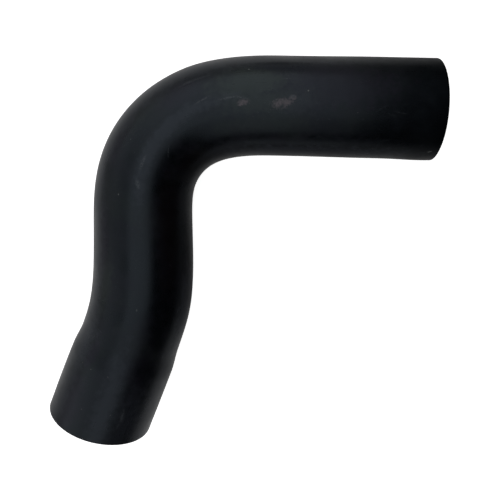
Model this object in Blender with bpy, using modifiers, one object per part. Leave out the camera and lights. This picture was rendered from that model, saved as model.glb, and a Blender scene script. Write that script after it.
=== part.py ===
"""A turbo hose: one moulded rubber tube with an elbow, a shallow offset bend and a stepped cuff.

The hose lies on its side on a level surface. Its centreline is flat, the upper leg runs along X
and its mouth faces +X. The origin is the middle of the bounding box, at its lowest level.
"""

import math

import bpy
import numpy as np

MM = 0.001
COLLECTION = "turbo_hose_parts"
NAME = "turbo_hose"

# Rubber wall, and the bore at each place where it changes, from the upper mouth to the cuff
WALL = 5.0 * MM
MOUTH_BORE = 53.0 * MM
LEG_BORE = 51.8 * MM
WAIST_BORE = 49.3 * MM
NECK_BORE = 50.4 * MM
CUFF_BORE = 52.7 * MM

# Straight runs of the centreline
UPPER_LEG = 92.5 * MM
MIDDLE_LEG = 12.0 * MM
LOWER_LEG = 42.9 * MM

# Elbow: its tightest centreline radius, its angle, and the shares of its arc that tighten and ease
ELBOW_RADIUS = 55.1 * MM
ELBOW_ANGLE = math.radians(92.0)
ELBOW_LEAD_IN_SHARE = 0.477
ELBOW_LEAD_OUT_SHARE = 0.230

# Offset bend, which turns the other way
OFFSET_RADIUS = 100.1 * MM
OFFSET_ANGLE = math.radians(22.1)
OFFSET_LEAD_IN_SHARE = 0.490
OFFSET_LEAD_OUT_SHARE = 0.392

# Lands and steps of the bore
MOUTH_LAND = 10.0 * MM
WAIST_BEFORE_ELBOW_END = 15.4 * MM
CUFF_LENGTH = 39.3 * MM
CUFF_STEP = 13.7 * MM

# Fineness of the surface
SIDES = 40
RING_SPACING = 7.0 * MM
TRACE_SPACING = 0.5 * MM
RIM_ROUND = 0.4 * MM
RIM_SEGMENTS = 2
RIM_ANGLE = math.radians(60.0)
SHARP_ANGLE = math.radians(35.0)

RUBBER_COLOUR = (0.010, 0.012, 0.014, 1.0)
RUBBER_ROUGHNESS = 0.5


def bend_arc(radius, angle, tightens, eases):
    """Length of a bend whose curvature rises from nothing, holds at 1 / radius and falls away."""
    return radius * angle / (1 - (tightens + eases) / 2)


ELBOW_ARC = bend_arc(ELBOW_RADIUS, ELBOW_ANGLE, ELBOW_LEAD_IN_SHARE, ELBOW_LEAD_OUT_SHARE)
OFFSET_ARC = bend_arc(OFFSET_RADIUS, OFFSET_ANGLE, OFFSET_LEAD_IN_SHARE, OFFSET_LEAD_OUT_SHARE)
ELBOW_START = UPPER_LEG
ELBOW_END = ELBOW_START + ELBOW_ARC
OFFSET_START = ELBOW_END + MIDDLE_LEG
OFFSET_END = OFFSET_START + OFFSET_ARC
HOSE_LENGTH = OFFSET_END + LOWER_LEG


def clear_scene():
    """Remove what the scene starts with."""
    for thing in list(bpy.data.objects):
        bpy.data.objects.remove(thing, do_unlink=True)


def bend_curvature(stations, start, arc, radius, tightens, eases):
    """Curvature of one bend at these distances along the hose."""
    corners = [start, start + tightens * arc, start + (1 - eases) * arc, start + arc]
    return np.interp(stations, corners, [0.0, 1 / radius, 1 / radius, 0.0])


def running_sum(values, spacing):
    """Integral of evenly spaced values, from the first of them to each."""
    middles = (values[1:] + values[:-1]) / 2
    return np.concatenate([[0.0], np.cumsum(middles) * spacing])


def centreline(stations):
    """Points (x, y) of the flat centreline at these distances from the upper mouth."""
    steps = math.ceil(HOSE_LENGTH / TRACE_SPACING)
    trace = np.linspace(0.0, HOSE_LENGTH, steps + 1)
    spacing = trace[1]
    elbow = bend_curvature(
        trace, ELBOW_START, ELBOW_ARC, ELBOW_RADIUS, ELBOW_LEAD_IN_SHARE, ELBOW_LEAD_OUT_SHARE
    )
    offset = bend_curvature(
        trace, OFFSET_START, OFFSET_ARC, OFFSET_RADIUS, OFFSET_LEAD_IN_SHARE, OFFSET_LEAD_OUT_SHARE
    )
    heading = math.pi + running_sum(elbow - offset, spacing)
    x = running_sum(np.cos(heading), spacing)
    y = running_sum(np.sin(heading), spacing)
    return np.stack([np.interp(stations, trace, x), np.interp(stations, trace, y)], axis=1)


def bore_radius(stations):
    """Bore radius at these distances, easing smoothly from each named bore to the next."""
    cuff_start = HOSE_LENGTH - CUFF_LENGTH
    places = [
        (MOUTH_LAND, MOUTH_BORE),
        (UPPER_LEG, LEG_BORE),
        (ELBOW_END - WAIST_BEFORE_ELBOW_END, WAIST_BORE),
        (cuff_start - CUFF_STEP, NECK_BORE),
        (cuff_start, CUFF_BORE),
    ]
    radius = np.full_like(stations, MOUTH_BORE / 2)
    for (begin, bore), (end, next_bore) in zip(places, places[1:]):
        share = np.clip((stations - begin) / (end - begin), 0.0, 1.0)
        radius += (next_bore - bore) / 2 * share * share * (3 - 2 * share)
    return radius


def outer_tube():
    """The hose's outer surface, open at both mouths, as a mesh."""
    rings = math.ceil(HOSE_LENGTH / RING_SPACING)
    stations = np.linspace(0.0, HOSE_LENGTH, rings + 1)
    curve = bpy.data.curves.new("hose_centreline", "CURVE")
    curve.dimensions = "3D"
    curve.twist_mode = "Z_UP"
    # A depth of one makes each point's radius the hose's outer radius there
    curve.bevel_depth = 1.0
    curve.bevel_resolution = SIDES // 2 - 2
    spline = curve.splines.new("POLY")
    spline.points.add(rings)
    outer_radius = bore_radius(stations) + WALL
    for point, (x, y), radius in zip(spline.points, centreline(stations), outer_radius):
        point.co = (x, y, 0.0, 1.0)
        point.radius = radius
    guide = bpy.data.objects.new("hose_centreline", curve)
    bpy.context.scene.collection.objects.link(guide)
    depsgraph = bpy.context.evaluated_depsgraph_get()
    mesh = bpy.data.meshes.new_from_object(guide.evaluated_get(depsgraph))
    bpy.data.objects.remove(guide, do_unlink=True)
    mesh.name = NAME
    return mesh


def rubber():
    """Black moulded rubber."""
    material = bpy.data.materials.new("black_rubber")
    material.use_nodes = True
    shader = material.node_tree.nodes["Principled BSDF"]
    shader.inputs["Base Color"].default_value = RUBBER_COLOUR
    shader.inputs["Roughness"].default_value = RUBBER_ROUGHNESS
    shader.inputs["Metallic"].default_value = 0.0
    return material


def rest_on_origin(thing):
    """Move the piece so that the origin is the middle of its bounding box, at its lowest level."""
    depsgraph = bpy.context.evaluated_depsgraph_get()
    corners = np.array(thing.evaluated_get(depsgraph).bound_box)
    low = corners.min(axis=0)
    high = corners.max(axis=0)
    middle = (low + high) / 2
    thing.location = (-middle[0], -middle[1], -low[2])


def make_hose(collection):
    """The hose: the outer surface given its wall inwards, with the cut rims' edges rounded."""
    mesh = outer_tube()
    hose = bpy.data.objects.new(NAME, mesh)
    collection.objects.link(hose)
    mesh.materials.clear()
    mesh.materials.append(rubber())
    mesh.shade_smooth()
    mesh.set_sharp_from_angle(angle=SHARP_ANGLE)

    wall = hose.modifiers.new("wall", "SOLIDIFY")
    wall.thickness = WALL
    wall.offset = -1.0
    wall.use_even_offset = True

    rims = hose.modifiers.new("rims", "BEVEL")
    rims.width = RIM_ROUND
    rims.segments = RIM_SEGMENTS
    rims.limit_method = "ANGLE"
    rims.angle_limit = RIM_ANGLE
    rest_on_origin(hose)
    return hose


def main():
    clear_scene()
    collection = bpy.data.collections.new(COLLECTION)
    bpy.context.scene.collection.children.link(collection)
    make_hose(collection)


main()
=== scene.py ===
"""Turbo hose: the finished looks of one moulded black rubber hose that lies on a white floor.

The hose is one swept tube: an upper leg, an elbow, a shallow offset bend and a stepped cuff, with
both cut ends open. Its surface is satin rubber with a fine grain, drawn lines, scuffs and dust.
Distances along the hose start at the upper mouth. Angles round it start at its top and grow
towards the inner side of the elbow.
"""

import math
from typing import NamedTuple

import bpy
import numpy as np
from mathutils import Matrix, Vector, noise


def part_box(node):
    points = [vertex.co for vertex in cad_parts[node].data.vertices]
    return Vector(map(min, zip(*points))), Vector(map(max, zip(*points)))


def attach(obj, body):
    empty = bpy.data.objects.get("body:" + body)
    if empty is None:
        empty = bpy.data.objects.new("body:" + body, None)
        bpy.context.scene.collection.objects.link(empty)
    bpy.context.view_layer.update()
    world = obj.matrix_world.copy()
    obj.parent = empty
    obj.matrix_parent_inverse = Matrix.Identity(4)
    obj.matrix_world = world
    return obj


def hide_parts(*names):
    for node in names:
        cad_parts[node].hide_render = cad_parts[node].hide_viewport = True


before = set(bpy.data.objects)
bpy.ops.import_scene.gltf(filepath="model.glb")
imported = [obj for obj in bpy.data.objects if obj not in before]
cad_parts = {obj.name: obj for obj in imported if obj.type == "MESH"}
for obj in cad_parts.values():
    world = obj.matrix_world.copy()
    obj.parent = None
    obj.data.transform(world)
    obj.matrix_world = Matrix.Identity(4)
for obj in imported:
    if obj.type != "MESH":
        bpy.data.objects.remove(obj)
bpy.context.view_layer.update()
HOSE_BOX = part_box("turbo_hose")

bl_info = {
    "name": "Turbo Hose",
    "version": (1, 0, 0),
    "blender": (4, 5, 0),
    "location": "3D View > Sidebar > Turbo Hose",
    "description": "Builds a moulded rubber charge-air hose and the white studio it lies in",
    "category": "Add Mesh",
}

MM = 0.001

# Fineness of the swept surface
SIDES = 160
OUTER_SPACING = 1.2 * MM
BORE_SPACING = 3.0 * MM
FACE_RINGS = 3
CORNER_SEGMENTS = 3
TRACE_SPACING = 0.25 * MM
SHARP_ANGLE = math.radians(40.0)
UV_NAME = "hose_surface"

# Material slots of the skin, the cut ends and the bore
SKIN = 0
CUT = 1
BORE = 2

# Slow hollows and fine ripples of the surface: how wide they are and where their noise is taken
HOLLOW_SPAN = 38 * MM
HOLLOW_SEED = 3.7
RIPPLE_SPAN = 5 * MM
RIPPLE_SEED = 11.3

# The skin's lift starts after this many mouth lands and is whole at this share of the upper leg.
# It is gone where this share of the cuff step's length is left before the lower mouth.
LIFT_START = 1.5
LIFT_WHOLE = 0.6
LIFT_END = 0.2

# How fast a swell falls away from its middle
SWELL_FALL = 2.0

# Kinds of marks with cloudy outlines, and kinds with finely broken ones
SOFT_MARKS = ("haze", "bloom", "painted_sheen", "stain", "clean")
SHARP_MARKS = ("scuff", "scratch", "dark", "speck")

# Noise that makes their outlines ragged, in lumps to the metre, and how far it moves an outline
COARSE_NOISE = 260.0
FINE_NOISE = 900.0
RAGGEDNESS = 2.2

# Noise between which scratches and scuffs break up
SCRATCH_FADE = (0.36, 0.60)
SCUFF_FADE = (0.30, 0.60)

# What each effect adds to the skin's roughness, and how far it stands out from the skin
SKIN_ROUGHNESS = {"clouds": 0.07, "patches": 0.05, "lines": 0.05, "rubbed": 0.22, "dark": 0.35, "speck": 0.40}
SKIN_RELIEF = {"scratch": -0.010 * MM, "rubs": -0.005 * MM, "dark": -0.030 * MM, "speck": 0.050 * MM}

# Drawn lines: how fast their noise changes along the hose, as a share of how fast it does across
LINE_STRETCH = 0.035

# Dust specks: the smallest one's size as a share of the given size, and the solid share of each
LEAST_SPECK = 0.4
SPECK_CORE = 0.5

# Rub lines: the turn and stretch of each set, the noise between which they show, and their clusters
RUB_SETS = ((0.35, 0.07), (-0.6, 0.09))
RUB_FADE = (0.69, 0.78)
RUB_CLUSTERS = 45.0
RUB_CLUSTER_LOW = 0.75
RUB_CLUSTER_RISE = 0.15

# How clean rubber clouds the cut ends and the bore, and what clouds and lines add to their roughness
CLEAN_CLOUDS = 0.45
CUT_ROUGHER = 0.18
BORE_ROUGHER = 0.12

WHITE = (1.0, 1.0, 1.0, 1.0)
BLACK = (0.0, 0.0, 0.0, 1.0)
FLOOR_ROUGHNESS = 0.9
SENSOR_WIDTH = 36.0
CLIP_START = 10 * MM

# Share of the radius of the painted floor shade inside the elbow that is dimmest
CORNER_CORE = 0.3

# The surround's pale side: its direction in plan, and the leans towards it between which it fades in.
# It fades out again between these leans to the right.
PALE_SIDE = (-0.75, 0.66)
PALE_FADE = (-0.2, 0.6)
RIGHT_FADE = (0.08, 0.28)


def length(name, description, millimetres):
    """A distance that a user may change."""
    return bpy.props.FloatProperty(
        name=name, description=description, default=millimetres * MM, unit="LENGTH", subtype="DISTANCE",
        precision=5,
    )


def angle(name, description, degrees):
    """An angle that a user may change."""
    return bpy.props.FloatProperty(
        name=name, description=description, default=math.radians(degrees), unit="ROTATION", subtype="ANGLE"
    )


def share(name, description, default):
    """A share from nothing to all."""
    return bpy.props.FloatProperty(
        name=name, description=description, default=default, min=0.0, max=1.0, subtype="FACTOR"
    )


def amount(name, description, default):
    """A plain positive number, such as a radiance."""
    return bpy.props.FloatProperty(
        name=name, description=description, default=default, min=0.0, subtype="NONE"
    )


def colour(name, description, default):
    """A linear colour."""
    return bpy.props.FloatVectorProperty(
        name=name, description=description, default=default, size=3, min=0.0, max=1.0, subtype="COLOR"
    )


class HoseSizes(bpy.types.PropertyGroup):
    """Sizes of the tube, from the upper mouth to the cuff."""

    wall: length("Wall", "Thickness of the rubber", 5.0)
    mouth_bore: length("Mouth Bore", "Bore at the upper mouth", 53.0)
    leg_bore: length("Leg Bore", "Bore where the upper leg meets the elbow", 51.8)
    waist_bore: length("Waist Bore", "Bore at the narrowest place", 49.3)
    neck_bore: length("Neck Bore", "Bore where the step up to the cuff starts", 50.4)
    cuff_bore: length("Cuff Bore", "Bore of the cuff", 52.7)
    upper_leg: length("Upper Leg", "Straight run from the upper mouth", 92.5)
    middle_leg: length("Middle Leg", "Straight run between the two bends", 12.0)
    lower_leg: length("Lower Leg", "Straight run to the lower mouth", 42.9)
    elbow_radius: length("Elbow Radius", "Tightest centreline radius of the elbow", 55.1)
    elbow_angle: angle("Elbow Angle", "How far the elbow turns", 92.0)
    elbow_lead_in: share("Elbow Lead In", "Share of the elbow in which it tightens", 0.477)
    elbow_lead_out: share("Elbow Lead Out", "Share of the elbow in which it eases", 0.230)
    offset_radius: length("Offset Radius", "Tightest centreline radius of the offset bend", 100.1)
    offset_angle: angle("Offset Angle", "How far the offset bend turns the other way", 22.1)
    offset_lead_in: share("Offset Lead In", "Share of the offset bend in which it tightens", 0.490)
    offset_lead_out: share("Offset Lead Out", "Share of the offset bend in which it eases", 0.392)
    mouth_land: length("Mouth Land", "Even stretch at the upper mouth", 10.0)
    waist_before_elbow_end: length("Waist Place", "From the waist to the elbow's end", 15.4)
    cuff_length: length("Cuff Length", "Even stretch at the lower mouth", 39.3)
    cuff_step: length("Cuff Step", "Length of the step up to the cuff", 13.7)
    rim_round: length("Rim Round", "Rounding of the cut rims' edges", 0.4)
    waviness: length("Waviness", "Depth of the slow hollows that moulding leaves", 0.16)
    ripple: length("Ripple", "Depth of the fine unevenness of the skin", 0.03)
    lift: length("Lift", "How far the skin stands out between the mouths", 0.20)
    cuff_lift: length("Cuff Lift", "How far the cuff's skin stands out", 0.10)


class RubberFinish(bpy.types.PropertyGroup):
    """Colours and textures of the rubber."""

    rubber: colour("Rubber", "Clean black rubber", (0.0012, 0.0016, 0.0023))
    bloom: colour("Bloom", "Greenish bloom that comes to the skin", (0.0145, 0.0185, 0.0145))
    haze: colour("Haze", "Violet-grey haze from handling", (0.0054, 0.0038, 0.0074))
    # Painted sheen: a cool lift of the skin's colour where it reflects the studio, on the rims, the dark
    # side, the crest and the cuff's step
    painted_sheen: colour("Film", "Bluish film of dust on the sides", (0.0140, 0.0155, 0.0200))
    # Painted shade: deep navy that darkens a band of the skin at the back of the upper leg
    clean: colour("Clean", "Deep navy of places that stayed clean", (0.0003, 0.0006, 0.0032))
    scuff: colour("Scuff", "Pinkish rubbed places", (0.0720, 0.0620, 0.0680))
    scratch: colour("Scratch", "Pale fine scratches and rubbed lines", (0.0440, 0.0480, 0.0530))
    stain: colour("Stain", "Faint red-brown tint in the dark side", (0.0022, 0.0010, 0.0011))
    dark: colour("Dark Marks", "Short dark lines in the skin", (0.0006, 0.0008, 0.0012))
    dust: colour("Dust", "Dust specks", (0.1900, 0.1950, 0.1900))
    cut: colour("Cut Rubber", "Rubber on the cut ends", (0.0210, 0.0220, 0.0240))
    bore: colour("Bore", "Rubber inside the bore, dull from the mandrel's powder", (0.0065, 0.0070, 0.0080))
    cloud_share: share("Haze Clouds", "How strongly clouds of haze show all over", 0.34)
    patch_share: share("Bloom Patches", "How strongly patches of bloom show all over", 0.18)
    rub_share: share("Rub Lines", "How strongly the fine rub lines show", 0.25)
    dark_share: share("Dark Share", "How strongly the dark marks show", 0.90)
    speck_share: share("Speck Share", "How strongly the specks show", 0.75)
    dust_share: share("Dust Share", "How strongly stray dust shows beside the named specks", 0.50)
    bore_dust_share: share("Bore Dust Share", "How strongly dust shows in the bore", 0.40)
    # The haze and bloom clouds fade out towards the upper mouth, which leaves that end darker
    unhazed_end: length("Clean End", "Stretch at the upper mouth that handling left clean", 16.0)
    full_haze_from: length("Handled From", "Where the haze and bloom show in full", 66.0)
    mouth_haze: share("Clean Haze", "What the clean end shows of the haze and bloom", 0.06)
    roughness: share("Roughness", "Roughness of the clean skin", 0.25)
    cut_roughness: share("Cut Roughness", "Roughness of the cut ends", 0.49)
    bore_roughness: share("Bore Roughness", "Roughness inside the bore", 0.42)
    gloss: share("Gloss", "Specular level of the skin", 0.245)
    gleam: colour("Gleam", "Cool tint of what the skin reflects", (0.70, 0.85, 1.00))
    grain_size: length("Grain Size", "Size of the skin's grain", 0.55)
    grain_depth: length("Grain Depth", "Depth of the skin's grain", 0.006)
    line_width: length("Line Width", "Width of the lines drawn along the hose", 1.4)
    line_depth: length("Line Depth", "Depth of the lines drawn along the hose", 0.010)


class StudioSizes(bpy.types.PropertyGroup):
    """The floor, the lamps and the camera."""

    floor_colour: colour("Floor", "White floor", (0.86, 0.86, 0.86))
    floor_size: length("Floor Size", "Side of the square floor", 6000.0)
    floor_glow: share("Floor Glow", "White that the floor shows to the camera", 0.88)
    floor_gleam: share("Floor Gleam", "White that the floor shows in reflections", 0.05)
    # Painted floor shade that only reflections see: a little dimmer all over, dimmer to the right and in a
    # round place inside the elbow
    floor_share: share("Floor Share", "What reflections see of the floor's brightness", 0.95)
    dim_from: length("Dim From", "Where reflections start to see the floor dimmer, along X", 20.0)
    dim_to: length("Dim To", "Where reflections see the floor dimmest, along X", 230.0)
    dim_share: share("Dim Share", "What is left of the floor's brightness there", 0.08)
    corner_x: length("Corner X", "Middle of the dim place inside the elbow, along X", 40.0)
    corner_y: length("Corner Y", "Middle of the dim place inside the elbow, along Y", -35.0)
    corner_radius: length("Corner Radius", "Radius of the dim place inside the elbow", 110.0)
    corner_share: share("Corner Share", "What is left of the floor's brightness there", 0.20)
    panel_height: length("Panel Height", "Height of the overhead panels", 380.0)
    panel_reach: length("Panel Reach", "How far the panels go out to each side", 900.0)
    panel_right: length("Panel Right Edge", "Where the panels end along X", 130.0)
    strip_width: length("Strip Width", "Width of the dimmer strip along the right edge", 60.0)
    middle_left: length("Middle Panel's Left Edge", "Where the middle panel ends along X", -175.0)
    middle_front: length("Middle Panel's Front Edge", "Where the middle panel ends along Y", -150.0)
    middle_back: length("Middle Panel's Back Edge", "Where the back panel starts along Y", 170.0)
    back_left: length("Back Panel's Left Edge", "Where the back panel ends along X", -290.0)
    panel_radiance: amount("Panel Radiance", "Brightness of the middle panel", 1.14)
    strip_radiance: amount("Strip Radiance", "Brightness of the right strip", 0.86)
    left_radiance: amount("Left Radiance", "Brightness of the left panel", 0.22)
    back_left_radiance: amount("Back Left Radiance", "Brightness of the panel at the back left", 0.55)
    front_left_radiance: amount("Front Left Radiance", "Brightness of the panel at the front left", 0.75)
    back_radiance: amount("Back Radiance", "Brightness of the back panel", 1.02)
    front_radiance: amount("Front Radiance", "Brightness of the front panel", 0.86)
    front_inner_radiance: amount("Front Inner Radiance", "Brightness right of the front panel", 0.62)
    front_strip_radiance: amount("Front Strip Radiance", "Brightness of the strip's front end", 0.45)
    front_split: length("Front Split", "Where the front panel's dimmer right part starts along X", 10.0)
    fill: share("Fill", "Even light from all round", 0.12)
    surround: share("Surround", "Brightness of the studio's pale side in reflections", 0.45)
    camera_x: length("Camera X", "Camera's place along X", 21.73)
    camera_y: length("Camera Y", "Camera's place along Y", 32.51)
    camera_height: length("Camera Height", "Camera's height above the floor", 321.55)
    camera_roll: angle("Camera Roll", "Turn of the camera about its own axis", 1.1155)
    camera_lens: amount("Lens", "Focal length in millimetres", 33.044)
    camera_shift_x: bpy.props.FloatProperty(
        name="Shift X", description="Sideways shift of the frame", default=-0.0586, subtype="NONE"
    )
    camera_shift_y: bpy.props.FloatProperty(
        name="Shift Y", description="Upward shift of the frame", default=-0.1128, subtype="NONE"
    )


class Swell(NamedTuple):
    """A place where the tube stands a little proud of its even form, or sinks below it."""

    place: str
    along: float
    round: float
    length: float
    width: float
    height: float


# Millimetres along, degrees round, millimetres long and wide, millimetres high
SWELLS = [
    Swell("upper mouth's inner side", 7.0, 88.0, 22.0, 22.0, 0.75),
    Swell("shoulder of the elbow", 141.0, -86.0, 15.0, 30.0, 0.34),
    Swell("elbow's outer side", 186.0, -86.0, 24.0, 30.0, 0.20),
    Swell("lower bend's outer side", 266.0, -86.0, 34.0, 30.0, 0.34),
    Swell("lower bend's inner side", 276.0, 88.0, 14.0, 26.0, 0.25),
    Swell("step's inner side", 296.0, 88.0, 12.0, 26.0, -0.25),
    Swell("cuff's outer side", 326.0, -86.0, 28.0, 30.0, 0.36),
    Swell("inner shoulder of the elbow, upper side", 160.0, 38.0, 44.0, 17.0, -1.20),
    Swell("inner shoulder of the elbow, lower side", 160.0, 142.0, 44.0, 17.0, -1.20),
]


class Mark(NamedTuple):
    """One mark on the skin: what it is, where it lies, its size and its turn from the hose's length."""

    name: str
    kind: str
    along: float
    round: float
    length: float
    width: float
    turn: float
    soft: float
    strength: float


# Millimetres along, degrees round, millimetres long and wide, degrees, share, share
MARKS = [
    Mark("green bloom at the elbow's start", "bloom", 113.0, -15.0, 38.0, 20.0, 8.0, 0.65, 0.85),
    Mark("green bloom beside the patches", "bloom", 106.0, 4.0, 44.0, 12.0, 4.0, 0.75, 0.60),
    Mark("green bloom inside the elbow", "bloom", 106.0, 28.0, 46.0, 10.0, 4.0, 0.80, 0.30),
    Mark("bloom on the lower bend", "bloom", 263.0, -30.0, 30.0, 8.0, -4.0, 0.70, 0.45),
    Mark("bloom on the elbow's back", "bloom", 168.0, -30.0, 24.0, 9.0, 0.0, 0.80, 0.25),
    Mark("haze on the upper leg", "haze", 70.0, -14.0, 74.0, 25.0, 0.0, 0.45, 0.90),
    # Painted shade: darkens a band of the skin at the back of the upper leg
    Mark("painted navy shade at the back", "clean", 94.0, -37.0, 32.0, 7.0, 0.0, 0.60, 1.0),
    Mark("haze on the elbow's shoulder", "haze", 150.0, -22.0, 24.0, 12.0, 0.0, 0.50, 0.80),
    Mark("haze on the elbow's outer side", "haze", 184.0, -34.0, 22.0, 9.0, 6.0, 0.60, 0.80),
    Mark("haze on the middle leg", "haze", 238.0, -34.0, 34.0, 8.0, 0.0, 0.60, 0.90),
    Mark("haze below the step", "haze", 307.0, -24.0, 20.0, 7.0, 0.0, 0.50, 0.90),
    Mark("haze on the cuff", "haze", 338.0, -26.0, 30.0, 11.0, 0.0, 0.50, 1.0),
    # Painted reflections: the three marks below lift the skin on the outer side of the bends, the cuff's step
    # and the cuff, where it reflects the floor
    Mark("film on the bends' outer side", "painted_sheen", 226.0, -50.0, 262.0, 15.0, 0.0, 0.60, 0.70),
    Mark("film on the cuff's step", "painted_sheen", 302.0, -40.0, 32.0, 11.0, 4.0, 0.70, 1.0),
    Mark("film on the cuff's outer side", "painted_sheen", 336.0, -40.0, 34.0, 9.0, 0.0, 0.80, 0.70),
    # Painted reflections: the four marks below lift the skin on the inner side and in the dark side of the
    # legs and the cuff
    Mark("film on the upper leg's inner side", "painted_sheen", 80.0, 69.0, 98.0, 12.0, 0.0, 0.50, 0.90),
    Mark("film on the upper leg's dark side", "painted_sheen", 84.0, 50.0, 84.0, 7.0, 0.0, 0.60, 0.28),
    Mark("film on the lower bend's inner side", "painted_sheen", 277.0, 77.0, 40.0, 13.0, 0.0, 0.60, 1.0),
    Mark("film on the cuff's inner side", "painted_sheen", 339.0, 40.0, 36.0, 17.0, 0.0, 0.80, 0.66),
    Mark("haze on the cuff's inner edge", "haze", 336.0, 68.0, 44.0, 11.0, 0.0, 0.60, 0.80),
    # Painted highlights: a pale stripe along the cuff and a pale crest round the elbow, where the skin
    # reflects the panels brightest
    Mark("pale stripe on the cuff", "painted_sheen", 334.0, 12.0, 60.0, 10.0, 0.0, 0.70, 0.64),
    Mark("pale crest round the elbow", "painted_sheen", 168.0, 5.0, 84.0, 7.0, 4.0, 0.60, 0.68),
    # Painted highlight in part: pale scratch colour where the highlight widens on the cuff's step, with the
    # scratches' own roughness and relief
    Mark("rubbed step with painted highlight", "scratch", 300.0, -40.0, 32.0, 12.0, 4.0, 0.90, 0.36),
    # Painted sheen beside the rubbed patch
    Mark("film beside the rubbed patch", "painted_sheen", 87.0, 6.0, 18.0, 9.0, 0.0, 0.80, 0.45),
    Mark("rubbed patch", "scuff", 94.5, 7.3, 10.5, 4.8, 10.0, 0.55, 0.92),
    Mark("rubbed patch's tip", "scuff", 88.5, 1.0, 3.8, 2.6, 0.0, 0.40, 1.0),
    Mark("small rubbed patch", "scuff", 117.0, 6.0, 6.0, 3.2, 6.0, 0.50, 0.95),
    Mark("rubbed patch's pale corner", "scratch", 89.0, 0.5, 3.6, 2.2, 20.0, 0.50, 1.0),
    Mark("streak over the small patch", "scratch", 118.0, 0.5, 8.0, 1.0, -12.0, 0.50, 0.90),
    Mark("streak beside the small patch", "scratch", 125.0, -0.5, 11.0, 1.2, 4.0, 0.50, 0.90),
    Mark("streak on the elbow's back", "scratch", 142.0, -30.0, 15.0, 1.6, 4.0, 0.70, 0.45),
    Mark("short streak on the elbow", "scratch", 139.5, -4.0, 9.0, 1.1, 12.0, 0.60, 0.80),
    Mark("scuffs below the elbow", "scratch", 190.5, 5.5, 9.0, 1.8, 0.0, 0.60, 0.80),
    Mark("scuff on the middle leg", "scratch", 204.0, 7.0, 6.0, 2.2, 20.0, 0.60, 0.85),
    Mark("scratch in the dark side", "scratch", 176.0, 23.5, 9.0, 0.6, 28.0, 0.50, 0.55),
    Mark("crossed scratch one", "scratch", 296.0, -27.5, 6.0, 0.7, 40.0, 0.50, 0.50),
    Mark("crossed scratch two", "scratch", 297.5, -29.0, 6.0, 0.7, -35.0, 0.50, 0.50),
    Mark("crossed scratch three", "scratch", 293.0, -25.5, 5.0, 0.6, 75.0, 0.50, 0.40),
    Mark("scratch on the cuff's side", "scratch", 300.5, 56.0, 6.0, 0.7, 10.0, 0.50, 0.50),
    Mark("rubbed place near the lower mouth", "scratch", 335.0, 31.5, 8.0, 2.4, 8.0, 0.70, 0.50),
    Mark("scratch near the lower mouth", "scratch", 341.0, 31.5, 4.0, 0.8, -12.0, 0.60, 0.40),
    Mark("short dash on the upper leg", "scratch", 92.0, -20.0, 4.0, 0.6, 0.0, 0.50, 0.90),
    Mark("faint scratch near the upper mouth", "scratch", 27.5, 14.5, 7.0, 0.6, -10.0, 0.60, 0.35),
    Mark("stain on the inner bend", "stain", 170.0, 58.0, 40.0, 16.0, 0.0, 0.80, 0.60),
    Mark("stain on the inner side", "stain", 228.0, 45.0, 60.0, 14.0, 0.0, 0.80, 0.70),
    # Painted shade in part: darkens the navy band at the back, with a dark line's own roughness and relief
    Mark("dark line with painted shade at the back", "dark", 98.0, -42.0, 34.0, 3.0, 1.0, 0.80, 0.80),
    Mark("short dark mark one", "dark", 37.5, 10.5, 5.0, 0.9, 30.0, 0.50, 0.90),
    Mark("short dark mark two", "dark", 31.5, 17.5, 5.0, 0.9, -20.0, 0.50, 0.90),
    Mark("short dark mark three", "dark", 34.5, 46.5, 6.0, 0.9, 10.0, 0.50, 0.90),
    Mark("speck one", "speck", 80.0, -6.5, 0.8, 0.7, 0.0, 0.40, 0.60),
    Mark("speck two", "speck", 5.5, 62.5, 2.2, 1.0, 20.0, 0.50, 0.60),
    Mark("speck three", "speck", 211.0, -13.0, 0.8, 0.6, 0.0, 0.40, 0.45),
    Mark("speck four", "speck", 182.5, -18.5, 0.7, 0.6, 0.0, 0.40, 0.35),
    Mark("speck five", "speck", 113.0, -32.5, 1.3, 0.6, 0.0, 0.40, 0.55),
    Mark("speck six", "speck", 275.5, 10.5, 1.0, 0.7, 0.0, 0.40, 0.25),
    Mark("speck seven", "speck", 315.0, 3.0, 1.1, 0.7, 40.0, 0.40, 0.18),
    Mark("speck eight", "speck", 314.5, -30.0, 0.8, 0.6, 0.0, 0.40, 0.20),
    Mark("speck nine", "speck", 337.5, -10.5, 0.8, 0.6, 0.0, 0.40, 0.25),
    Mark("speck ten", "speck", 335.5, 19.5, 0.8, 0.6, 0.0, 0.40, 0.18),
]


def running_sum(values, spacing):
    """Integral of evenly spaced values, from the first of them to each."""
    middles = (values[1:] + values[:-1]) / 2
    return np.concatenate([[0.0], np.cumsum(middles) * spacing])


def eased(values, begin, end):
    """Smooth rise from nothing at begin to one at end."""
    part = np.clip((values - begin) / (end - begin), 0.0, 1.0)
    return part * part * (3 - 2 * part)


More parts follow.
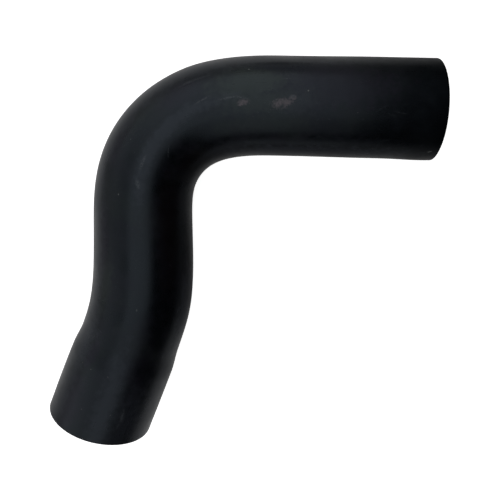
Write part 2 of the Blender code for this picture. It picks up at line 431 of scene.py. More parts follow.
class Course:
    """The flat centreline of the hose and the bore along it, worked out from the sizes."""

    def __init__(self, sizes):
        self.sizes = sizes
        self.elbow_arc = self.bend_arc(
            sizes.elbow_radius, sizes.elbow_angle, sizes.elbow_lead_in, sizes.elbow_lead_out
        )
        self.offset_arc = self.bend_arc(
            sizes.offset_radius, sizes.offset_angle, sizes.offset_lead_in, sizes.offset_lead_out
        )
        self.elbow_end = sizes.upper_leg + self.elbow_arc
        self.offset_start = self.elbow_end + sizes.middle_leg
        self.end = self.offset_start + self.offset_arc + sizes.lower_leg
        steps = math.ceil(self.end / TRACE_SPACING)
        self.trace = np.linspace(0.0, self.end, steps + 1)
        elbow = self.curvature(
            sizes.upper_leg, self.elbow_arc, sizes.elbow_radius, sizes.elbow_lead_in, sizes.elbow_lead_out
        )
        offset = self.curvature(
            self.offset_start, self.offset_arc, sizes.offset_radius, sizes.offset_lead_in,
            sizes.offset_lead_out,
        )
        self.heading = math.pi + running_sum(elbow - offset, self.trace[1])
        self.x = running_sum(np.cos(self.heading), self.trace[1])
        self.y = running_sum(np.sin(self.heading), self.trace[1])

    @staticmethod
    def bend_arc(radius, turn, tightens, eases):
        """Length of a bend whose curvature rises from nothing, holds at 1 / radius and falls away."""
        return radius * turn / (1 - (tightens + eases) / 2)

    def curvature(self, start, arc, radius, tightens, eases):
        """Curvature of one bend along the traced centreline."""
        corners = [start, start + tightens * arc, start + (1 - eases) * arc, start + arc]
        return np.interp(self.trace, corners, [0.0, 1 / radius, 1 / radius, 0.0])

    def bore_radius(self, stations):
        """Bore radius at these distances, easing smoothly from each named bore to the next."""
        sizes = self.sizes
        cuff_start = self.end - sizes.cuff_length
        places = [
            (sizes.mouth_land, sizes.mouth_bore),
            (sizes.upper_leg, sizes.leg_bore),
            (self.elbow_end - sizes.waist_before_elbow_end, sizes.waist_bore),
            (cuff_start - sizes.cuff_step, sizes.neck_bore),
            (cuff_start, sizes.cuff_bore),
        ]
        radius = np.full_like(stations, sizes.mouth_bore / 2)
        for (begin, bore), (finish, next_bore) in zip(places, places[1:]):
            radius += (next_bore - bore) / 2 * eased(stations, begin, finish)
        return radius

    def rings(self, stations, radii, angles, upper_mouth):
        """Points of round sections: one row for each station, with its own radii, at these angles."""
        x = np.interp(stations, self.trace, self.x) + upper_mouth.x
        y = np.interp(stations, self.trace, self.y) + upper_mouth.y
        heading = np.interp(stations, self.trace, self.heading)
        side = radii * np.sin(angles)
        rise = radii * np.cos(angles)
        points = np.empty(radii.shape + (3,))
        points[..., 0] = x[:, None] - np.sin(heading)[:, None] * side
        points[..., 1] = y[:, None] + np.cos(heading)[:, None] * side
        points[..., 2] = upper_mouth.z + rise
        return points


def ring_plan(course):
    """Stations, depths and zones of the rings, once round the wall: skin, lower rim, bore, upper rim.

    A depth is measured into the wall from the skin. A ring's zone is the material slot of the band
    of faces between it and the next ring.
    """
    sizes = course.sizes
    corner = sizes.rim_round
    wall = sizes.wall
    skin = np.linspace(corner, course.end - corner, math.ceil(course.end / OUTER_SPACING))
    bore = np.linspace(course.end - corner, corner, math.ceil(course.end / BORE_SPACING))
    turns = np.linspace(0.0, math.pi / 2, CORNER_SEGMENTS + 1)[1:]
    drop = corner * (1 - np.cos(turns))
    run = corner * np.sin(turns)
    face = np.linspace(0.0, 1.0, FACE_RINGS + 2)[1:-1] * (wall - 2 * corner) + corner
    depth_out = np.concatenate([drop, face, wall - drop[::-1]])
    stand = np.concatenate([run, np.full(FACE_RINGS, corner), run[::-1]])
    lower = course.end - corner + stand
    upper = corner - stand
    stations = np.concatenate([skin, lower, bore, upper])
    depth = np.concatenate([
        np.zeros(len(skin)), depth_out, np.full(len(bore), wall), wall - depth_out,
    ])
    zones = np.repeat([SKIN, CUT, BORE, CUT], [len(skin), len(lower), len(bore), len(upper)])
    zones[len(skin) + len(lower) + len(bore) - 1] = CUT
    # The rims' outer corners belong to the skin
    zones[len(skin) - 1:len(skin) - 1 + CORNER_SEGMENTS] = SKIN
    zones[-CORNER_SEGMENTS:] = SKIN
    return stations, depth, zones


def unevenness(points, scale, seed):
    """Slow noise from nothing to one at each point, the same each run."""
    flat = points.reshape(-1, 3) / scale + seed
    values = np.array([noise.noise(Vector(point)) for point in flat])
    return np.clip(0.5 + 0.5 * values.reshape(points.shape[:-1]), 0.0, 1.0)


def skin_lift(course, stations):
    """How far the whole skin stands out at each ring: not at the mouths, and less on the cuff."""
    sizes = course.sizes
    cuff_start = course.end - sizes.cuff_length
    lift = sizes.lift * eased(stations, sizes.mouth_land * LIFT_START, sizes.upper_leg * LIFT_WHOLE)
    lift += (sizes.cuff_lift - sizes.lift) * eased(stations, cuff_start - sizes.cuff_step, cuff_start)
    lowered = eased(stations, course.end - sizes.cuff_step, course.end - sizes.cuff_step * LIFT_END)
    return lift * (1 - lowered)


def swell_height(stations, angles, outer_radius):
    """How far the named swells lift each point of the skin."""
    lift = np.zeros((len(stations), len(angles)))
    for swell in SWELLS:
        away = (stations[:, None] - swell.along * MM) / (swell.length * MM)
        turned = (angles - math.radians(swell.round) + math.pi) % (2 * math.pi) - math.pi
        beside = turned * outer_radius[:, None] / (swell.width * MM)
        lift += swell.height * MM * np.exp(-SWELL_FALL * (away ** 2 + beside ** 2))
    return lift


def hose_mesh(sizes):
    """The hose's whole surface as one closed mesh, with its surface map in metres and turns."""
    course = Course(sizes)
    stations, depth, zones = ring_plan(course)
    angles = np.linspace(-math.pi, math.pi, SIDES + 1)[:-1]
    outer_radius = course.bore_radius(stations) + sizes.wall
    mouth_radius = sizes.mouth_bore / 2 + sizes.wall
    upper_mouth = Vector((HOSE_BOX[1].x, HOSE_BOX[1].y - mouth_radius, HOSE_BOX[0].z + mouth_radius))
    radii = np.repeat((outer_radius - depth)[:, None], SIDES, axis=1)
    even = course.rings(stations, radii, angles, upper_mouth)
    skin_share = (1 - depth / sizes.wall)[:, None]
    hollows = sizes.waviness * unevenness(even, HOLLOW_SPAN, HOLLOW_SEED)
    ripples = sizes.ripple * unevenness(even, RIPPLE_SPAN, RIPPLE_SEED)
    lift = skin_lift(course, stations)[:, None] + swell_height(stations, angles, outer_radius)
    radii -= hollows + ripples
    radii += skin_share * lift
    points = course.rings(stations, radii, angles, upper_mouth)

    count = len(stations)
    ring = np.arange(count)[:, None]
    side = np.arange(SIDES)[None, :]
    next_ring = (ring + 1) % count
    next_side = (side + 1) % SIDES
    corners = np.stack([
        ring * SIDES + side, ring * SIDES + next_side,
        next_ring * SIDES + next_side, next_ring * SIDES + side,
    ], axis=-1).reshape(-1, 4)
    mesh = bpy.data.meshes.new("hose")
    mesh.from_pydata(points.reshape(-1, 3).tolist(), [], corners.tolist())
    mesh.polygons.foreach_set("material_index", np.repeat(zones, SIDES).astype(np.int32))

    along = stations[np.stack([ring, ring, next_ring, next_ring], axis=-1)]
    turn = np.stack([side, side + 1, side + 1, side], axis=-1) / SIDES
    surface_map = np.stack(np.broadcast_arrays(along, turn), axis=-1)
    surface = mesh.uv_layers.new(name=UV_NAME)
    surface.data.foreach_set("uv", surface_map.astype(np.float32).ravel())
    mesh.shade_smooth()
    mesh.set_sharp_from_angle(angle=SHARP_ANGLE)
    mesh.validate()
    return mesh


class Nodes:
    """Short names for placing and linking the nodes of one tree."""

    def __init__(self, tree):
        self.tree = tree

    def add(self, kind, **settings):
        """A node with these settings."""
        node = self.tree.nodes.new(kind)
        for name, value in settings.items():
            setattr(node, name, value)
        return node

    def feed(self, socket, value):
        """Link an output to this input, or set the input to a value."""
        if isinstance(value, bpy.types.NodeSocket):
            self.tree.links.new(value, socket)
        else:
            socket.default_value = value

    def fill(self, node, **values):
        """A node's outputs, once its inputs are fed. A name's underscores stand for spaces."""
        for name, value in values.items():
            self.feed(node.inputs[name.replace("_", " ")], value)
        return node.outputs

    def math(self, operation, first, second=0.0, third=0.0, clamp=False):
        """A maths node's result."""
        node = self.add("ShaderNodeMath", operation=operation, use_clamp=clamp)
        for socket, value in zip(node.inputs, (first, second, third)):
            self.feed(socket, value)
        return node.outputs[0]

    def plus(self, first, second):
        """The sum of two values."""
        return self.math("ADD", first, second)

    def minus(self, first, second):
        """The first value less the second."""
        return self.math("SUBTRACT", first, second)

    def times(self, first, second):
        """The product of two values."""
        return self.math("MULTIPLY", first, second)

    def over(self, first, second):
        """The first value divided by the second."""
        return self.math("DIVIDE", first, second)

    def distance(self, along, across):
        """How far it is to a point that lies this far along and this far across."""
        squares = self.plus(self.math("POWER", along, 2.0), self.math("POWER", across, 2.0))
        return self.math("SQRT", squares)

    def ramp(self, value, low, high, to_low=0.0, to_high=1.0):
        """A value mapped smoothly from one range to another, held at both ends."""
        node = self.add("ShaderNodeMapRange", interpolation_type="SMOOTHSTEP")
        ranges = {"From_Min": low, "From_Max": high, "To_Min": to_low, "To_Max": to_high}
        return self.fill(node, Value=value, **ranges)["Result"]

    def axes(self, vector):
        """The X, Y and Z of a vector."""
        return self.fill(self.add("ShaderNodeSeparateXYZ"), Vector=vector)

    def stretched(self, vector, factors):
        """A vector times a factor for each axis."""
        node = self.add("ShaderNodeVectorMath", operation="MULTIPLY")
        self.feed(node.inputs[0], vector)
        self.feed(node.inputs[1], factors)
        return node.outputs[0]

    def noise(self, place, scale, detail, roughness):
        """Noise from nothing to one at this scale, in lumps to the metre."""
        node = self.add("ShaderNodeTexNoise")
        return self.fill(node, Vector=place, Scale=scale, Detail=detail, Roughness=roughness)["Fac"]

    def mix(self, factor, first, second):
        """Two colours mixed."""
        node = self.add("ShaderNodeMix", data_type="RGBA")
        return self.fill(node, Factor=factor, A=first, B=second)["Result"]

    def group(self, group, **values):
        """A placed node group's outputs, once its inputs are fed."""
        return self.fill(self.add("ShaderNodeGroup", node_tree=group), **values)


def new_group(name, inputs, outputs):
    """An empty shader node group with these named sockets, its Nodes, its inputs and its outputs."""
    tree = bpy.data.node_groups.new(name, "ShaderNodeTree")
    for socket_name, kind, default in inputs:
        socket = tree.interface.new_socket(socket_name, in_out="INPUT", socket_type=kind)
        if default is not None:
            socket.default_value = default
    for socket_name, kind in outputs:
        tree.interface.new_socket(socket_name, in_out="OUTPUT", socket_type=kind)
    nodes = Nodes(tree)
    given = nodes.add("NodeGroupInput").outputs
    result = nodes.add("NodeGroupOutput").inputs
    return tree, nodes, given, result


FLOAT = "NodeSocketFloat"
VECTOR = "NodeSocketVector"


def place_group():
    """Where a point lies on the hose: millimetres along, degrees round, and a seamless place."""
    tree, nodes, given, result = new_group(
        "hose_place", [("Radius", FLOAT, 0.03)], [("Along", FLOAT), ("Round", FLOAT), ("Wrapped", VECTOR)]
    )
    surface = nodes.axes(nodes.add("ShaderNodeUVMap", uv_map=UV_NAME).outputs["UV"])
    nodes.feed(result["Along"], nodes.times(surface["X"], 1 / MM))
    turned = nodes.minus(surface["Y"], 0.5)
    nodes.feed(result["Round"], nodes.times(turned, 360.0))
    radians = nodes.times(turned, 2 * math.pi)
    side = nodes.times(nodes.math("SINE", radians), given["Radius"])
    rise = nodes.times(nodes.math("COSINE", radians), given["Radius"])
    wrapped = nodes.fill(nodes.add("ShaderNodeCombineXYZ"), X=surface["X"], Y=side, Z=rise)
    nodes.feed(result["Wrapped"], wrapped["Vector"])
    return tree


def mark_group():
    """One ragged oval mark on the skin, placed and turned by its inputs."""
    tree, nodes, given, result = new_group(
        "mark",
        [("Along", FLOAT, 0.0), ("Round", FLOAT, 0.0), ("Ragged", FLOAT, 0.5), ("At Along", FLOAT, 0.0),
         ("At Round", FLOAT, 0.0), ("Length", FLOAT, 10.0), ("Width", FLOAT, 2.0), ("Turn", FLOAT, 0.0),
         ("Softness", FLOAT, 0.5), ("Radius", FLOAT, 30.0)],
        [("Mask", FLOAT)],
    )
    away = nodes.minus(given["Along"], given["At Along"])
    turned = nodes.math("RADIANS", nodes.minus(given["Round"], given["At Round"]))
    beside = nodes.times(turned, given["Radius"])
    turn = nodes.math("RADIANS", given["Turn"])
    cosine = nodes.math("COSINE", turn)
    sine = nodes.math("SINE", turn)
    lengthwise = nodes.plus(nodes.times(away, cosine), nodes.times(beside, sine))
    across = nodes.minus(nodes.times(beside, cosine), nodes.times(away, sine))
    far = nodes.over(lengthwise, nodes.times(given["Length"], 0.5))
    wide = nodes.over(across, nodes.times(given["Width"], 0.5))
    uneven = nodes.times(nodes.minus(given["Ragged"], 0.5), RAGGEDNESS)
    distance = nodes.plus(nodes.distance(far, wide), uneven)
    inner = nodes.minus(1.0, given["Softness"])
    outer = nodes.plus(1.0, given["Softness"])
    nodes.feed(result["Mask"], nodes.ramp(distance, inner, outer, 1.0, 0.0))
    return tree


def grain_group():
    """Height of the rubber's skin in metres: fine grain and lines drawn along the hose."""
    tree, nodes, given, result = new_group(
        "grain",
        [("Place", VECTOR, None), ("Grain Size", FLOAT, 0.6 * MM), ("Grain Depth", FLOAT, 0.01 * MM),
         ("Line Width", FLOAT, 1.4 * MM), ("Line Depth", FLOAT, 0.01 * MM)],
        [("Height", FLOAT), ("Lines", FLOAT)],
    )
    fineness = nodes.over(1.0, given["Grain Size"])
    grain = nodes.noise(given["Place"], fineness, detail=3.0, roughness=0.6)
    drawn = nodes.stretched(given["Place"], (LINE_STRETCH, 1.0, 1.0))
    lines = nodes.noise(drawn, nodes.over(1.0, given["Line Width"]), detail=3.0, roughness=0.55)
    grain_height = nodes.times(grain, given["Grain Depth"])
    line_height = nodes.times(lines, given["Line Depth"])
    nodes.feed(result["Height"], nodes.plus(grain_height, line_height))
    nodes.feed(result["Lines"], lines)
    return tree


def blotch_group():
    """Cloudy mask of large uneven patches."""
    tree, nodes, given, result = new_group(
        "blotches",
        [("Place", VECTOR, None), ("Size", FLOAT, 20 * MM), ("Low", FLOAT, 0.4), ("High", FLOAT, 0.7)],
        [("Mask", FLOAT)],
    )
    fineness = nodes.over(1.0, given["Size"])
    cloud = nodes.noise(given["Place"], fineness, detail=4.0, roughness=0.6)
    nodes.feed(result["Mask"], nodes.ramp(cloud, given["Low"], given["High"]))
    return tree


def dust_group():
    """Mask of sparse dust specks of uneven size."""
    tree, nodes, given, result = new_group(
        "dust",
        [("Place", VECTOR, None), ("Spacing", FLOAT, 6 * MM), ("Speck", FLOAT, 0.05), ("Share", FLOAT, 0.3)],
        [("Mask", FLOAT)],
    )
    cells = nodes.fill(
        nodes.add("ShaderNodeTexVoronoi", feature="F1"),
        Vector=given["Place"], Scale=nodes.over(1.0, given["Spacing"]),
    )
    pick = nodes.fill(nodes.add("ShaderNodeSeparateColor"), Color=cells["Color"])
    kept = nodes.math("LESS_THAN", pick["Red"], given["Share"])
    radius = nodes.times(given["Speck"], nodes.plus(LEAST_SPECK, pick["Green"]))
    near = nodes.ramp(cells["Distance"], nodes.times(radius, SPECK_CORE), radius, 1.0, 0.0)
    nodes.feed(result["Mask"], nodes.times(near, kept))
    return tree


def rub_group():
    """Mask of fine random rub lines in clusters."""
    tree, nodes, given, result = new_group(
        "rubs",
        [("Place", VECTOR, None), ("Width", FLOAT, 0.6 * MM), ("Share", FLOAT, 0.3)],
        [("Mask", FLOAT)],
    )
    masks = []
    for turn, stretch in RUB_SETS:
        rotate = nodes.add("ShaderNodeVectorRotate", rotation_type="EULER_XYZ")
        turned = nodes.fill(rotate, Vector=given["Place"], Rotation=(0.0, turn, turn))
        drawn = nodes.stretched(turned["Vector"], (stretch, 1.0, 1.0))
        lines = nodes.noise(drawn, nodes.over(1.0, given["Width"]), detail=1.0, roughness=0.5)
        masks.append(nodes.ramp(lines, *RUB_FADE))
    cluster = nodes.noise(given["Place"], RUB_CLUSTERS, detail=2.0, roughness=0.5)
    bare = nodes.minus(1.0, given["Share"])
    low = nodes.times(bare, RUB_CLUSTER_LOW)
    high = nodes.plus(RUB_CLUSTER_RISE, bare)
    both = nodes.math("MAXIMUM", *masks)
    nodes.feed(result["Mask"], nodes.times(both, nodes.ramp(cluster, low, high)))
    return tree


class Groups:
    """The node groups that the rubber's materials share, each built once."""

    def __init__(self):
        self.place = place_group()
        self.mark = mark_group()
        self.grain = grain_group()
        self.blotches = blotch_group()
        self.dust = dust_group()
        self.rubs = rub_group()


def rgba(value):
    """A colour property with full opacity."""
    return (*value, 1.0)


def new_rubber(name, roughness, finish):
    """A rubber material with nothing linked to its shader yet, its Nodes and its shader."""
    material = bpy.data.materials.new(name)
    material.use_nodes = True
    nodes = Nodes(material.node_tree)
    shader = material.node_tree.nodes["Principled BSDF"]
    nodes.fill(
        shader, Metallic=0.0, Roughness=roughness, Specular_IOR_Level=finish.gloss,
        Specular_Tint=rgba(finish.gleam),
    )
    return material, nodes, shader


def marks_of(nodes, groups, kind, place, ragged):
    """All marks of one kind as one mask."""
    mask = None
    for mark in (mark for mark in MARKS if mark.kind == kind):
        one = nodes.group(
            groups.mark, Along=place["Along"], Round=place["Round"], Ragged=ragged, At_Along=mark.along,
            At_Round=mark.round, Length=mark.length, Width=mark.width, Turn=mark.turn, Softness=mark.soft,
        )["Mask"]
        one = nodes.times(one, mark.strength)
        mask = one if mask is None else nodes.math("MAXIMUM", mask, one)
    return mask


def dress(nodes, shader, tint, rough, height):
    """Feed a rubber's shader its colour, its roughness and a relief from its height in metres."""
    bump = nodes.fill(nodes.add("ShaderNodeBump"), Distance=1.0, Strength=1.0, Height=height)
    nodes.fill(shader, Base_Color=tint, Roughness=rough, Normal=bump["Normal"])


def skin_masks(nodes, groups, finish, place):
    """Where each effect of the skin lies: its named marks, clouds, patches, rub lines and dust."""
    wrapped = place["Wrapped"]
    coarse = nodes.noise(wrapped, COARSE_NOISE, detail=3.0, roughness=0.6)
    fine = nodes.noise(wrapped, FINE_NOISE, detail=2.0, roughness=0.6)
    masks = {}
    for kinds, ragged in ((SOFT_MARKS, coarse), (SHARP_MARKS, fine)):
        for kind in kinds:
            masks[kind] = marks_of(nodes, groups, kind, place, ragged)
    masks["scratch"] = nodes.times(masks["scratch"], nodes.ramp(fine, *SCRATCH_FADE))
    masks["scuff"] = nodes.times(masks["scuff"], nodes.ramp(coarse, *SCUFF_FADE))
    masks["rubbed"] = nodes.math("MAXIMUM", masks["scuff"], masks["scratch"])
    masks["clouds"] = nodes.group(groups.blotches, Place=wrapped, Size=16 * MM, Low=0.40, High=0.62)["Mask"]
    masks["patches"] = nodes.group(groups.blotches, Place=wrapped, Size=26 * MM, Low=0.47, High=0.70)["Mask"]
    masks["rubs"] = nodes.group(groups.rubs, Place=wrapped, Width=0.7 * MM, Share=0.45)["Mask"]
    dust = nodes.group(groups.dust, Place=wrapped, Spacing=8.5 * MM, Speck=0.035, Share=0.12)["Mask"]
    masks["speck"] = nodes.math("MAXIMUM", masks["speck"], nodes.times(dust, finish.dust_share))
    return masks


def skin_tint(nodes, finish, masks, haze_reach):
    """The skin's colour: clean rubber with each effect laid over the ones before it."""
    hazy = nodes.times(nodes.times(masks["clouds"], finish.cloud_share), haze_reach)
    bloomed = nodes.times(nodes.times(masks["patches"], finish.patch_share), haze_reach)
    tint = rgba(finish.rubber)
    for mask, over in (
        (hazy, finish.haze),
        (bloomed, finish.bloom),
        (masks["haze"], finish.haze),
        (masks["bloom"], finish.bloom),
        # Painted sheen where the skin reflects, and below it the clean mask's painted shade
        (masks["painted_sheen"], finish.painted_sheen),
        (masks["stain"], finish.stain),
        (masks["clean"], finish.clean),
        (nodes.times(masks["rubs"], finish.rub_share), finish.scratch),
        (masks["scuff"], finish.scuff),
        (masks["scratch"], finish.scratch),
        (nodes.times(masks["dark"], finish.dark_share), finish.dark),
        (nodes.times(masks["speck"], finish.speck_share), finish.dust),
    ):
        tint = nodes.mix(mask, tint, rgba(over))
    return tint


def skin_material(finish, groups):
    """Satin black rubber of the hose's outer skin, with its bloom, scuffs, scratches, dust, painted sheen and
    painted shade.
    """
    material, nodes, shader = new_rubber("rubber_skin", finish.roughness, finish)
    place = nodes.group(groups.place)
    grain = nodes.group(
        groups.grain, Place=place["Wrapped"], Grain_Size=finish.grain_size, Grain_Depth=finish.grain_depth,
        Line_Width=finish.line_width, Line_Depth=finish.line_depth,
    )
    masks = skin_masks(nodes, groups, finish, place)
    masks["lines"] = grain["Lines"]
    # The haze and bloom clouds fade out towards the upper mouth
    haze_reach = nodes.ramp(
        place["Along"], finish.unhazed_end / MM, finish.full_haze_from / MM, finish.mouth_haze, 1.0
    )
    rough = finish.roughness
    for effect, rise in SKIN_ROUGHNESS.items():
        rough = nodes.math("MULTIPLY_ADD", masks[effect], rise, rough, clamp=True)
    height = grain["Height"]
    for effect, rise in SKIN_RELIEF.items():
        height = nodes.math("MULTIPLY_ADD", masks[effect], rise, height)
    dress(nodes, shader, skin_tint(nodes, finish, masks, haze_reach), rough, height)
    return material


def cut_material(finish, groups):
    """Rubber of the knife-cut ends: duller, paler, with fine scored lines and torn grains."""
    material, nodes, shader = new_rubber("rubber_cut", finish.cut_roughness, finish)
    place = nodes.add("ShaderNodeTexCoord").outputs["Object"]
    grain = nodes.group(
        groups.grain, Place=place, Grain_Size=0.9 * MM, Grain_Depth=0.06 * MM, Line_Width=0.8 * MM,
        Line_Depth=0.03 * MM,
    )
    clouds = nodes.group(groups.blotches, Place=place, Size=7 * MM, Low=0.40, High=0.66)["Mask"]
    dust = nodes.group(groups.dust, Place=place, Spacing=3.5 * MM, Speck=0.07, Share=0.12)["Mask"]
    tint = nodes.mix(nodes.times(clouds, CLEAN_CLOUDS), rgba(finish.cut), rgba(finish.rubber))
    tint = nodes.mix(nodes.times(dust, finish.dust_share), tint, rgba(finish.dust))
    rough = nodes.math("MULTIPLY_ADD", clouds, CUT_ROUGHER, finish.cut_roughness)
    dress(nodes, shader, tint, rough, grain["Height"])
    return material


def bore_material(finish, groups):
    """Rubber inside the bore: smooth from the mandrel, with lines drawn along it and a little dust."""
    material, nodes, shader = new_rubber("rubber_bore", finish.bore_roughness, finish)
    wrapped = nodes.group(groups.place)["Wrapped"]
    grain = nodes.group(
        groups.grain, Place=wrapped, Grain_Size=0.7 * MM, Grain_Depth=0.01 * MM, Line_Width=1.8 * MM,
        Line_Depth=0.04 * MM,
    )
    clouds = nodes.group(groups.blotches, Place=wrapped, Size=14 * MM, Low=0.40, High=0.70)["Mask"]
    dust = nodes.group(groups.dust, Place=wrapped, Spacing=6 * MM, Speck=0.05, Share=0.15)["Mask"]
    tint = nodes.mix(nodes.times(clouds, CLEAN_CLOUDS), rgba(finish.bore), rgba(finish.rubber))
    tint = nodes.mix(nodes.times(dust, finish.bore_dust_share), tint, rgba(finish.dust))
    rough = nodes.math("MULTIPLY_ADD", grain["Lines"], BORE_ROUGHER, finish.bore_roughness)
    dress(nodes, shader, tint, rough, grain["Height"])
    return material


class HOSE_OT_build_hose(bpy.types.Operator):
    """Build the rubber hose with its skin, cut ends and bore"""

    bl_idname = "turbo_hose.build_hose"
    bl_label = "Build Hose"
    bl_options = {"REGISTER", "UNDO"}

    def execute(self, context):
        groups = Groups()
        finish = context.scene.rubber_finish
        mesh = hose_mesh(context.scene.hose_sizes)
        # In the order of the slots SKIN, CUT and BORE
        for make_material in (skin_material, cut_material, bore_material):
            mesh.materials.append(make_material(finish, groups))
        hose = bpy.data.objects.new("hose", mesh)
        context.scene.collection.objects.link(hose)
        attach(hose, "root")
        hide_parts("turbo_hose")
        return {"FINISHED"}


def painted_floor_shade(nodes, studio):
    """Painted floor shade for reflections only: how bright they see each place of the floor, dimmer right and
    inside the elbow.
    """
    place = nodes.axes(nodes.add("ShaderNodeTexCoord").outputs["Object"])
    side = nodes.ramp(place["X"], studio.dim_from, studio.dim_to, 1.0, studio.dim_share)
    away = nodes.distance(
        nodes.minus(place["X"], studio.corner_x), nodes.minus(place["Y"], studio.corner_y)
    )
    core = studio.corner_radius * CORNER_CORE
    corner = nodes.ramp(away, core, studio.corner_radius, studio.corner_share, 1.0)
    return nodes.times(nodes.times(side, corner), studio.floor_share)


def ray_kinds(nodes):
    """Light Path's outputs, and whether a ray comes by a reflection or through something clear."""
    rays = nodes.add("ShaderNodeLightPath").outputs
    return rays, nodes.plus(rays["Is Glossy Ray"], rays["Is Transmission Ray"])


def floor_material(studio):
    """White floor that keeps the hose's shadow and shows white to the camera and in reflections, which also
    see a painted shade.
    """
    material = bpy.data.materials.new("white_floor")
    material.use_nodes = True
    nodes = Nodes(material.node_tree)
    shader = material.node_tree.nodes["Principled BSDF"]
    rays, mirrored = ray_kinds(nodes)
    kept = painted_floor_shade(nodes, studio)
    lost = nodes.times(mirrored, nodes.minus(1.0, kept))
    tint = nodes.mix(lost, rgba(studio.floor_colour), BLACK)
    glow = nodes.times(rays["Is Camera Ray"], studio.floor_glow)
    gleam = nodes.times(kept, studio.floor_gleam)
    glow = nodes.math("MULTIPLY_ADD", mirrored, gleam, glow)
    nodes.fill(
        shader, Base_Color=tint, Roughness=FLOOR_ROUGHNESS, Specular_IOR_Level=0.0, Emission_Color=WHITE,
        Emission_Strength=glow,
    )
    return material


def make_floor(context, studio):
    """The floor, level with the hose's underside."""
    half = studio.floor_size / 2
    corners = [(-half, -half, 0.0), (half, -half, 0.0), (half, half, 0.0), (-half, half, 0.0)]
    mesh = bpy.data.meshes.new("floor")
    mesh.from_pydata(corners, [], [(0, 1, 2, 3)])
    mesh.materials.append(floor_material(studio))
    floor = bpy.data.objects.new("floor", mesh)
    floor.location.z = HOSE_BOX[0].z
    context.scene.collection.objects.link(floor)


def add_panel(context, name, low, high, height, radiance):
    """A flat lamp that faces down, from its low to its high corner in plan."""
    lamp = bpy.data.lights.new(name, "AREA")
    lamp.shape = "RECTANGLE"
    lamp.size = high[0] - low[0]
    lamp.size_y = high[1] - low[1]
    lamp.energy = radiance * math.pi * lamp.size * lamp.size_y
    panel = bpy.data.objects.new(name, lamp)
    panel.location = ((low[0] + high[0]) / 2, (low[1] + high[1]) / 2, height)
    panel.visible_camera = False
    context.scene.collection.objects.link(panel)


def make_lamps(context, studio):
    """Overhead panels side by side: bright over and behind the hose, dimmer to the left and the right."""
    reach = studio.panel_reach
    left = studio.middle_left
    front = studio.middle_front
    back = studio.middle_back
    back_left = studio.back_left
    right = studio.panel_right
    strip = right - studio.strip_width
    split = studio.front_split
    for name, low, high, radiance in (
        ("middle_panel", (left, front), (strip, back), studio.panel_radiance),
        ("back_panel", (back_left, back), (strip, reach), studio.back_radiance),
        ("back_left_panel", (-reach, back), (back_left, reach), studio.back_left_radiance),
        ("left_panel", (-reach, front), (left, back), studio.left_radiance),
        ("front_left_panel", (-reach, -reach), (left, front), studio.front_left_radiance),
        ("front_panel", (left, -reach), (split, front), studio.front_radiance),
        ("front_inner_panel", (split, -reach), (strip, front), studio.front_inner_radiance),
        ("right_strip", (strip, front), (right, reach), studio.strip_radiance),
        ("front_strip", (strip, -reach), (right, front), studio.front_strip_radiance),
    ):
        add_panel(context, name, low, high, studio.panel_height, radiance)


def make_world(context, studio):
    """A white surround for the camera, a pale left side for reflections and a little even fill."""
    world = bpy.data.worlds.new("studio")
    world.use_nodes = True
    context.scene.world = world
    nodes = Nodes(world.node_tree)
    background = world.node_tree.nodes["Background"]
    background.inputs["Color"].default_value = WHITE
    direction = nodes.axes(nodes.add("ShaderNodeTexCoord").outputs["Generated"])
    leftwards = nodes.times(direction["X"], PALE_SIDE[0])
    backwards = nodes.times(direction["Y"], PALE_SIDE[1])
    pale_side = nodes.ramp(nodes.plus(leftwards, backwards), *PALE_FADE)
    not_right = nodes.ramp(direction["X"], *RIGHT_FADE, 1.0, 0.0)
    rays, mirrored = ray_kinds(nodes)
    surround = nodes.times(nodes.times(pale_side, not_right), studio.surround)
    strength = nodes.math("MULTIPLY_ADD", mirrored, surround, rays["Is Camera Ray"])
    strength = nodes.math("MULTIPLY_ADD", rays["Is Diffuse Ray"], studio.fill, strength)
    nodes.feed(background.inputs["Strength"], strength)


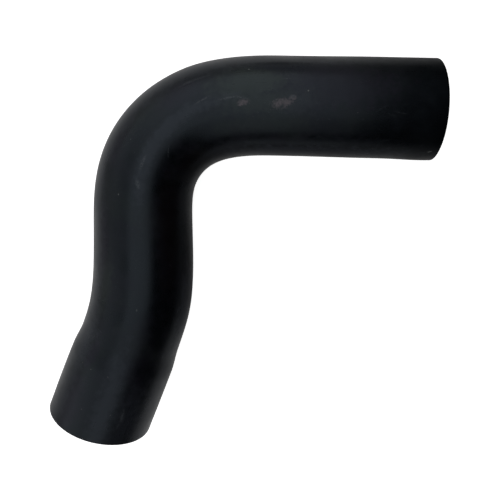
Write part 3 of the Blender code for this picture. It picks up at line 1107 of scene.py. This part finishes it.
def make_camera(context, studio):
    """A camera that looks straight down, with the photograph's height, roll and framing."""
    lens = bpy.data.cameras.new("camera")
    lens.sensor_width = SENSOR_WIDTH
    lens.lens = studio.camera_lens
    lens.shift_x = studio.camera_shift_x
    lens.shift_y = studio.camera_shift_y
    lens.clip_start = CLIP_START
    camera = bpy.data.objects.new("camera", lens)
    camera.location = (studio.camera_x, studio.camera_y, HOSE_BOX[0].z + studio.camera_height)
    camera.rotation_euler = (0.0, 0.0, studio.camera_roll)
    context.scene.collection.objects.link(camera)
    context.scene.camera = camera


class HOSE_OT_build_studio(bpy.types.Operator):
    """Build the white floor, the lamps, the surround and the camera"""

    bl_idname = "turbo_hose.build_studio"
    bl_label = "Build Studio"
    bl_options = {"REGISTER", "UNDO"}

    def execute(self, context):
        studio = context.scene.hose_studio
        make_floor(context, studio)
        make_lamps(context, studio)
        make_world(context, studio)
        make_camera(context, studio)
        context.scene.view_settings.view_transform = "Standard"
        return {"FINISHED"}


class HOSE_PT_panel(bpy.types.Panel):
    """The hose's and the studio's operators and values"""

    bl_idname = "HOSE_PT_panel"
    bl_label = "Turbo Hose"
    bl_space_type = "VIEW_3D"
    bl_region_type = "UI"
    bl_category = "Turbo Hose"

    def draw(self, context):
        scene = context.scene
        for operator, values in (
            (HOSE_OT_build_hose, (scene.hose_sizes, scene.rubber_finish)),
            (HOSE_OT_build_studio, (scene.hose_studio,)),
        ):
            box = self.layout.box()
            box.operator(operator.bl_idname)
            for group in values:
                for name in group.__annotations__:
                    box.prop(group, name)


CLASSES = (HoseSizes, RubberFinish, StudioSizes, HOSE_OT_build_hose, HOSE_OT_build_studio, HOSE_PT_panel)


def register():
    for kind in CLASSES:
        bpy.utils.register_class(kind)
    bpy.types.Scene.hose_sizes = bpy.props.PointerProperty(type=HoseSizes)
    bpy.types.Scene.rubber_finish = bpy.props.PointerProperty(type=RubberFinish)
    bpy.types.Scene.hose_studio = bpy.props.PointerProperty(type=StudioSizes)


def unregister():
    del bpy.types.Scene.hose_studio
    del bpy.types.Scene.rubber_finish
    del bpy.types.Scene.hose_sizes
    for kind in reversed(CLASSES):
        bpy.utils.unregister_class(kind)


def main():
    register()
    bpy.ops.turbo_hose.build_hose()
    bpy.ops.turbo_hose.build_studio()


if __name__ == "__main__":
    main()
